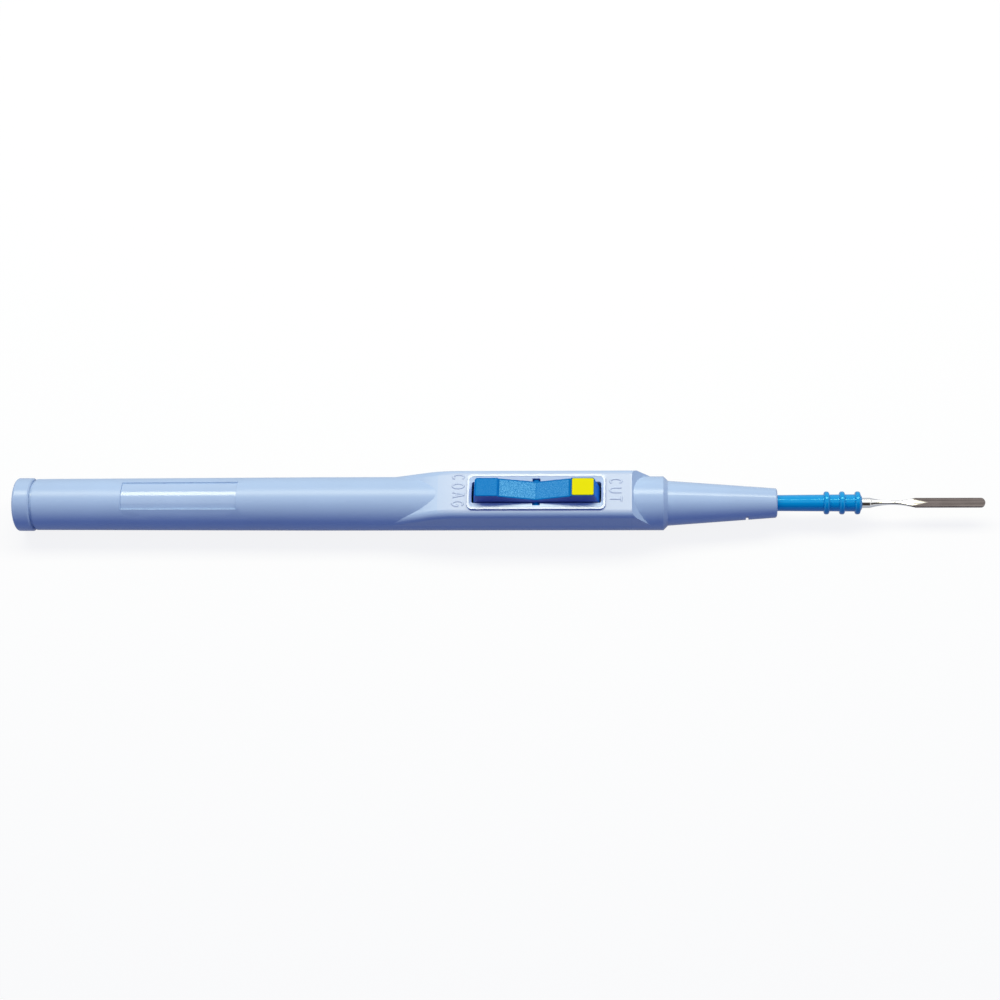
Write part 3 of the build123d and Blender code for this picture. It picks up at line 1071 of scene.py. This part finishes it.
@dataclass
class SwitchGear:
    """What the handle holds inside."""

    leads: tuple[str, ...] = ("active", "cut", "coag")
    domes: tuple[SnapDome, ...] = (SnapDome("cut_dome"), SnapDome("coag_dome"))

    def build(self, effects: Effects) -> None:
        """Builds and dresses the snap domes.

        Args:
            effects: The shared node groups.
        """
        material = DOME_FINISH.make(effects)
        for dome in self.domes:
            dome.build().data.materials.append(material)

    def dress(self, effects: Effects) -> None:
        """Dresses board and contacts.

        Args:
            effects: The shared node groups.
        """
        terminals = [f"cable_terminal_{lead}" for lead in self.leads]
        dress(BOARD_FINISH.make(effects), "switch_board")
        dress(BRASS_FINISH.make(effects), "electrode_socket", "active_link", *terminals)


@dataclass
class Studio:
    """Floor, light and camera. Angles are in degrees, and the lens is in millimetres."""

    floor_side: float = 30.0
    floor_gap: float = 0.02 * MM
    floor_colour: Colour = (0.9, 0.9, 0.9)
    floor_shade: Colour = (0.16, 0.2, 0.32)
    floor_glow: float = 0.87
    floor_mirror: float = 0.45
    key_tilt: float = 28.0
    key_distance: float = 0.35
    key_width: float = 0.11
    key_length: float = 0.6
    key_power: float = 1.75
    key_colour: Colour = (1.0, 0.97, 0.7)
    fill_colour: Colour = (0.31, 0.43, 1.0)
    fill_strength: float = 0.44
    dim_tilt: float = 52.0
    dim_spread: float = 34.0
    dim_edge: float = 5.0
    dim_colour: Colour = (0.05, 0.04, 0.037)
    aim_x: float = 103.4 * MM
    aim_rise: float = 0.76 * MM
    camera_distance: float = 445.0 * MM
    camera_lens: float = 76.1
    camera_clip: float = 10.0 * MM
    camera_yaw: float = 4.3
    camera_lean: float = 23.0
    camera_roll: float = 0.12

    def build(self) -> None:
        """Builds floor, lights, world and camera."""
        self.build_floor()
        self.build_key()
        self.build_world()
        self.build_camera()

    def seen_directly(self, sheet: NodeSheet, mirror_share: float) -> bpy.types.NodeSocket:
        """Tells camera, mirror and glass rays from the rest.

        Args:
            sheet: The sheet to place the nodes on.
            mirror_share: What a mirror ray counts for.

        Returns:
            1 for camera and glass rays, the share for mirror rays, else 0.
        """
        rays = sheet.add("ShaderNodeLightPath").outputs
        mirrored = sheet.sum_up("MULTIPLY", rays["Is Glossy Ray"], mirror_share)
        straight = sheet.sum_up("MAXIMUM", rays["Is Camera Ray"], rays["Is Transmission Ray"])
        return sheet.sum_up("MAXIMUM", straight, mirrored)

    def build_floor(self) -> None:
        """Builds the pale floor under the handle."""
        level = min(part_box(name)[0].z for name in ("handle_body", "end_cap"))
        work = bmesh.new()
        bmesh.ops.create_grid(work, x_segments=1, y_segments=1, size=self.floor_side / 2)
        mesh = bpy.data.meshes.new("floor")
        work.to_mesh(mesh)
        work.free()
        floor = bpy.data.objects.new("floor", mesh)
        floor.location.z = level - self.floor_gap
        bpy.context.scene.collection.objects.link(floor)
        mesh.materials.append(self.make_floor_material())

    def make_floor_material(self) -> bpy.types.Material:
        """Builds a pale floor that shows near white and keeps its shadow.

        Returns:
            The new material.
        """
        material = bpy.data.materials.new("floor_paper")
        material.use_nodes = True
        sheet = NodeSheet(material.node_tree)
        paper = sheet.add("ShaderNodeBsdfDiffuse")
        paper.inputs["Color"].default_value = (*self.floor_colour, 1.0)
        dim = sheet.add("ShaderNodeBsdfDiffuse")
        dim.inputs["Color"].default_value = (*self.floor_shade, 1.0)
        glow = sheet.add("ShaderNodeEmission")
        shown = sheet.add("ShaderNodeMixShader")
        shown.inputs[0].default_value = self.floor_glow
        sheet.feed(shown.inputs[1], paper.outputs[0])
        sheet.feed(shown.inputs[2], glow.outputs[0])
        choice = sheet.add("ShaderNodeMixShader")
        sheet.feed(choice.inputs[0], self.seen_directly(sheet, self.floor_mirror))
        sheet.feed(choice.inputs[1], dim.outputs[0])
        sheet.feed(choice.inputs[2], shown.outputs[0])
        output = sheet.add("ShaderNodeOutputMaterial")
        sheet.feed(output.inputs["Surface"], choice.outputs[0])
        return material

    def build_key(self) -> None:
        """Builds the long soft lamp above and slightly behind the handle."""
        lamp = bpy.data.lights.new("key_lamp", "AREA")
        lamp.shape = "RECTANGLE"
        lamp.size = self.key_length
        lamp.size_y = self.key_width
        lamp.energy = self.key_power
        lamp.color = self.key_colour
        key = bpy.data.objects.new("key_lamp", lamp)
        tilt = math.radians(self.key_tilt)
        toward = Vector((0, math.sin(tilt), math.cos(tilt)))
        key.location = Vector((self.aim_x, 0, 0)) + self.key_distance * toward
        key.rotation_euler = (-tilt, 0, 0)
        bpy.context.scene.collection.objects.link(key)

    def build_world(self) -> None:
        """Builds the soft fill light, seen directly as white."""
        world = bpy.data.worlds.new("studio")
        bpy.context.scene.world = world
        world.use_nodes = True
        sheet = NodeSheet(world.node_tree)
        fill = sheet.add("ShaderNodeBackground")
        fill.inputs["Color"].default_value = (*self.fill_colour, 1.0)
        fill.inputs["Strength"].default_value = self.fill_strength
        backdrop = sheet.add("ShaderNodeBackground")
        shown = sheet.mix_colour(self.find_dim_side(sheet), WHITE, self.dim_colour)
        sheet.feed(backdrop.inputs["Color"], shown)
        choice = sheet.add("ShaderNodeMixShader")
        sheet.feed(choice.inputs[0], self.seen_directly(sheet, 1.0))
        sheet.feed(choice.inputs[1], fill.outputs[0])
        sheet.feed(choice.inputs[2], backdrop.outputs[0])
        output = sheet.add("ShaderNodeOutputWorld")
        sheet.feed(output.inputs["Surface"], choice.outputs[0])

    def find_dim_side(self, sheet: NodeSheet) -> bpy.types.NodeSocket:
        """Finds the dim side of the studio behind the camera, which only mirrors show.

        Args:
            sheet: The sheet to place the nodes on.

        Returns:
            1 for mirror rays to the dim side, else 0.
        """
        tilt = math.radians(self.dim_tilt)
        toward = sheet.add("ShaderNodeVectorMath", operation="DOT_PRODUCT")
        sheet.feed(toward.inputs[0], sheet.add("ShaderNodeTexCoord").outputs["Generated"])
        toward.inputs[1].default_value = (0.0, -math.sin(tilt), math.cos(tilt))
        outer = math.cos(math.radians(self.dim_spread + self.dim_edge))
        inner = math.cos(math.radians(self.dim_spread - self.dim_edge))
        share = sheet.grade(toward.outputs["Value"], (outer, inner))
        mirrored = sheet.add("ShaderNodeLightPath").outputs["Is Glossy Ray"]
        return sheet.sum_up("MULTIPLY", share, mirrored)

    def build_camera(self) -> None:
        """Builds the camera at the photograph's angle."""
        yaw = math.radians(self.camera_yaw)
        lean = math.radians(self.camera_lean)
        side = Vector((0, -math.sin(lean), math.cos(lean)))
        back = Vector((math.sin(yaw), 0, 0)) + math.cos(yaw) * side
        level = (Vector((1, 0, 0)) - back.x * back).normalized()
        right = Matrix.Rotation(math.radians(-self.camera_roll), 3, back) @ level
        up = back.cross(right)
        lens = bpy.data.cameras.new("camera")
        lens.lens = self.camera_lens
        lens.clip_start = self.camera_clip
        camera = bpy.data.objects.new("camera", lens)
        place = Vector((self.aim_x, 0, 0)) + self.aim_rise * up + self.camera_distance * back
        axes = Matrix((right, up, back)).transposed().to_4x4()
        camera.matrix_world = Matrix.Translation(place) @ axes
        bpy.context.scene.collection.objects.link(camera)
        bpy.context.scene.camera = camera


def main() -> None:
    """Builds and dresses the pencil, then the studio around it."""
    logging.basicConfig(level=logging.INFO)
    bpy.context.scene.view_settings.view_transform = "Standard"
    effects = Effects(make_moulded_grain(), make_tool_marks(), make_span_mask())
    handle, gear = Handle(), SwitchGear()
    for assembly in (handle, gear):
        assembly.build(effects)
    for assembly in (handle, gear, RockerSwitch(), Electrode()):
        assembly.dress(effects)
    Studio().build()


if __name__ == "__main__":
    main()
